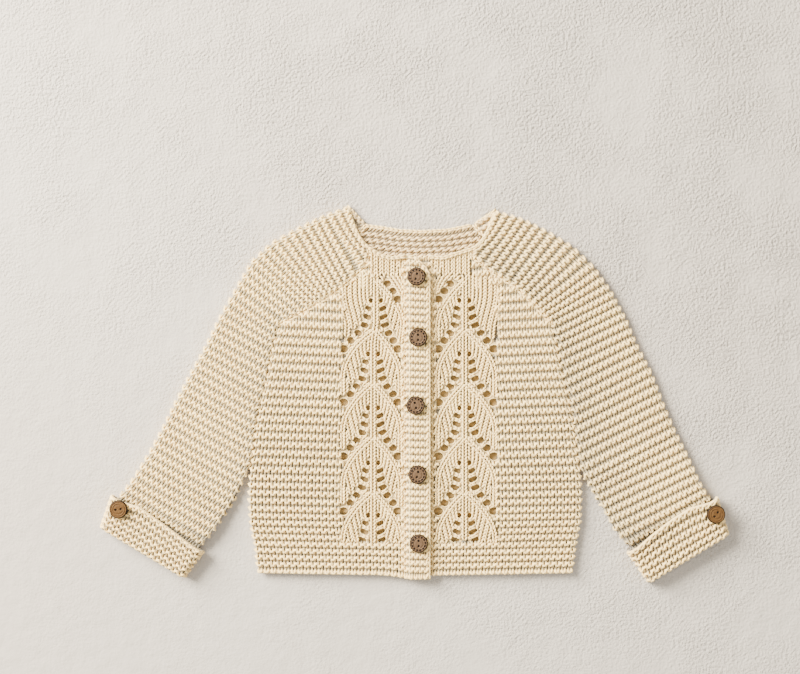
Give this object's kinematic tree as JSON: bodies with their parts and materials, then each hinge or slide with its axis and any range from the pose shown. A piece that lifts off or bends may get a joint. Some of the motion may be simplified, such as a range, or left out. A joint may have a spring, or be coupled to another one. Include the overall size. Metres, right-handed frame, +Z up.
{
  "type": "baby cardigan",
  "caption": "Cream knitted baby cardigan laid flat, garter stitch with leaf lace panels on the fronts, raglan sleeves, turned-back cuffs and wooden buttons down the front band",
  "frame": {"origin": "middle of the outline seen from above, on the surface the cardigan rests on", "axes": "+X across the chest to the wearer's left side, +Y from hem to neck, +Z up from the surface, front of the cardigan up"},
  "size_m": [0.5112, 0.3064, 0.0153],
  "materials": {
    "cream_knit": "matte cotton and wool yarn, hand-knit",
    "brown_wood": "turned, oiled, dark burnt ring",
    "pale_wood": "turned, oiled"
  },
  "bodies": {
    "root": {"back": "cream_knit", "right_front": "cream_knit", "left_front": "cream_knit", "right_sleeve": "cream_knit", "left_sleeve": "cream_knit", "right_cuff": "cream_knit", "left_cuff": "cream_knit", "buttonhole_band": "cream_knit", "button_band": "cream_knit", "button_1": "brown_wood", "button_2": "brown_wood", "button_3": "brown_wood", "button_4": "brown_wood", "button_5": "brown_wood", "right_cuff_button": "pale_wood", "left_cuff_button": "pale_wood"}
  },
  "joints": []
}
